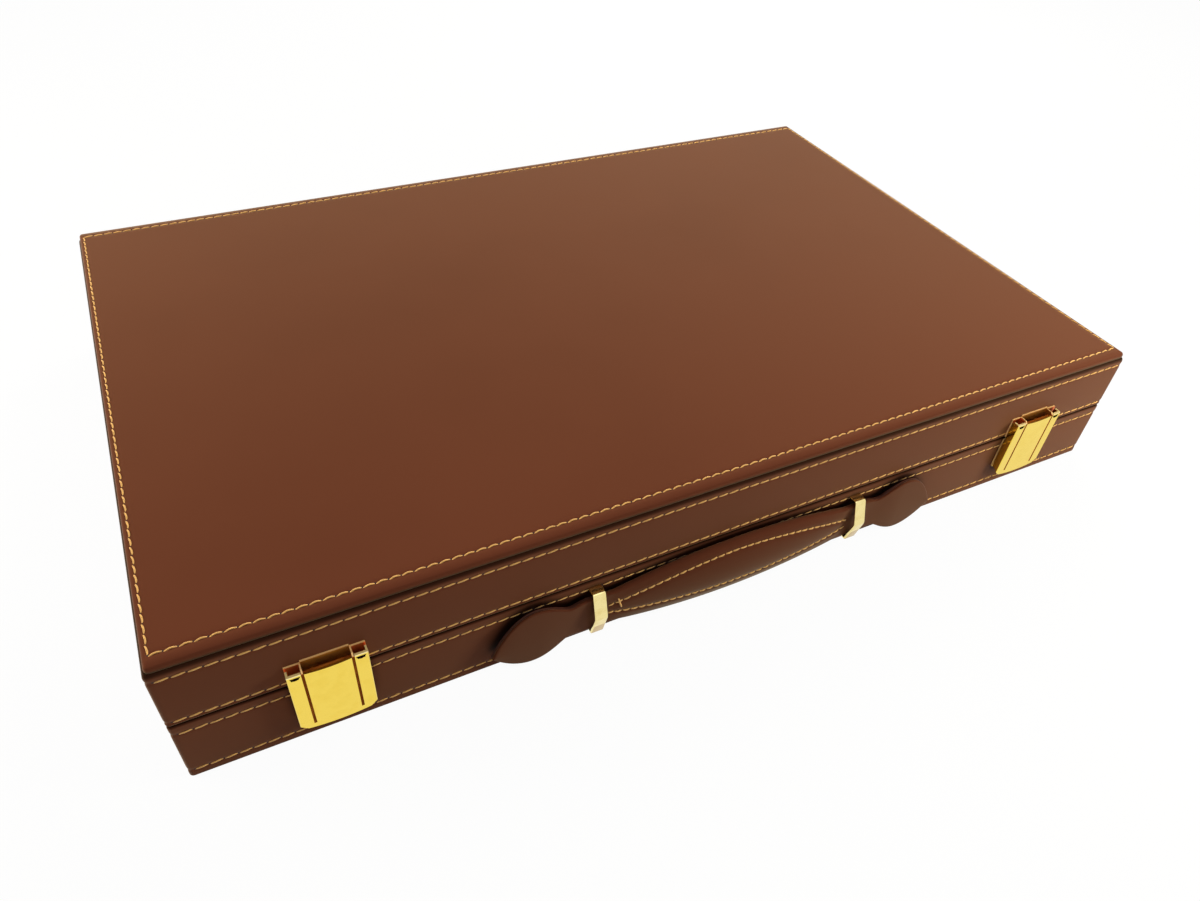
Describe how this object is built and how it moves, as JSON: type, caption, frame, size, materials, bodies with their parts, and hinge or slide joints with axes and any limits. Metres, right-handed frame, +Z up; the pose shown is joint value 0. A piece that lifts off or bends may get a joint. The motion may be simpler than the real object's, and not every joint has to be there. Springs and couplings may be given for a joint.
{
  "type": "folding backgammon set",
  "caption": "Leather-covered attache-style backgammon case with hinged lid, two hasp latches, a strap handle, inlaid board, checkers, cups and dice.",
  "frame": {"origin": "centre of the case's underside, on the surface it rests on", "axes": "+X along the case's length, -Y towards the front with latches and handle, +Z up"},
  "size_m": [0.48, 0.3222, 0.0696],
  "materials": {
    "case_leather": "semi-matte smooth brown leather with tan stitching",
    "strap_leather": "semi-matte brown strap leather",
    "board_wood": "raw plywood, hidden under the leather",
    "rail_leather": "leather-covered wood",
    "field_felt": "brown felt",
    "tray_felt": "brown felt",
    "light_inlay": "tan inlay",
    "dark_inlay": "dark brown inlay",
    "light_checker": "polished cream resin",
    "dark_checker": "polished dark brown resin",
    "cup_leather": "brown leather cup",
    "ivory_dice": "polished ivory resin",
    "latch_gold": "polished gold plating",
    "loop_gold": "satin pale gold plating",
    "hinge_brass": "satin brass",
    "pin_steel": "drawn steel",
    "rivet_brass": "brass"
  },
  "bodies": {
    "base": {"base_bottom_leather": "case_leather", "base_wall_leather": "case_leather", "base_front_board": "board_wood", "base_rear_board": "board_wood", "base_left_board": "board_wood", "base_right_board": "board_wood", "base_floor_board": "board_wood", "base_tray_rail": "rail_leather", "base_tray_dividers": "rail_leather", "base_field": "field_felt", "base_tray_lining": "tray_felt", "base_light_points": "light_inlay", "base_dark_points": "dark_inlay", "light_checkers": "light_checker", "dark_checkers": "dark_checker", "left_dice_cup": "cup_leather", "right_dice_cup": "cup_leather", "dice": "ivory_dice", "doubling_cube": "ivory_dice", "catch_rivets": "rivet_brass", "hinge_lower_leaves": "hinge_brass", "hinge_pins": "pin_steel", "hinge_lower_screws": "hinge_brass", "left_latch_catch": "latch_gold", "left_handle_loop": "loop_gold", "right_latch_catch": "latch_gold", "right_handle_loop": "loop_gold"},
    "lid": {"lid_top_leather": "case_leather", "lid_wall_leather": "case_leather", "lid_front_board": "board_wood", "lid_rear_board": "board_wood", "lid_left_board": "board_wood", "lid_right_board": "board_wood", "lid_top_board": "board_wood", "lid_tray_rail": "rail_leather", "lid_tray_divider": "rail_leather", "lid_field": "field_felt", "lid_tray_lining": "tray_felt", "lid_light_points": "light_inlay", "lid_dark_points": "dark_inlay", "hinge_upper_leaves": "hinge_brass", "hinge_upper_screws": "hinge_brass", "bracket_rivets": "rivet_brass", "left_latch_bracket": "latch_gold", "left_latch_pin": "pin_steel", "right_latch_bracket": "latch_gold", "right_latch_pin": "pin_steel"},
    "left_lever": {"left_latch_lever": "latch_gold"},
    "right_lever": {"right_latch_lever": "latch_gold"},
    "handle_grip": {"grip_strap": "strap_leather", "grip_pad": "strap_leather", "left_strap_link": "strap_leather", "right_strap_link": "strap_leather"},
    "left_tab": {"left_handle_tab": "strap_leather", "left_tab_facing": "strap_leather"},
    "right_tab": {"right_handle_tab": "strap_leather", "right_tab_facing": "strap_leather"}
  },
  "joints": [
    {"name": "lid_hinge", "type": "hinge", "parent": "base", "child": "lid", "pos_m": [0, 0.1553, 0.0348], "axis": [-1, 0, 0], "range_deg": [0, 180]},
    {"name": "left_latch_hinge", "type": "hinge", "parent": "lid", "child": "left_lever", "pos_m": [-0.1826, -0.1583, 0.0449], "axis": [-1, 0, 0], "range_deg": [0, 110]},
    {"name": "right_latch_hinge", "type": "hinge", "parent": "lid", "child": "right_lever", "pos_m": [0.1826, -0.1583, 0.0449], "axis": [-1, 0, 0], "range_deg": [0, 110]},
    {"name": "handle_lift", "type": "slide", "parent": "base", "child": "handle_grip", "axis": [0, -1, 0], "range_m": [0, 0.022], "deforming": ["left_strap_link", "right_strap_link"]},
    {"name": "left_tab_slide", "type": "slide", "parent": "handle_grip", "child": "left_tab", "axis": [0.3604, 0.9328, 0], "range_m": [0, 0.02363]},
    {"name": "right_tab_slide", "type": "slide", "parent": "handle_grip", "child": "right_tab", "axis": [-0.3604, 0.9328, 0], "range_m": [0, 0.02363]}
  ],
  "couplings": [
    {"joint": "left_tab_slide", "follows": "handle_lift", "ratio": 1.072},
    {"joint": "right_tab_slide", "follows": "handle_lift", "ratio": 1.072}
  ]
}
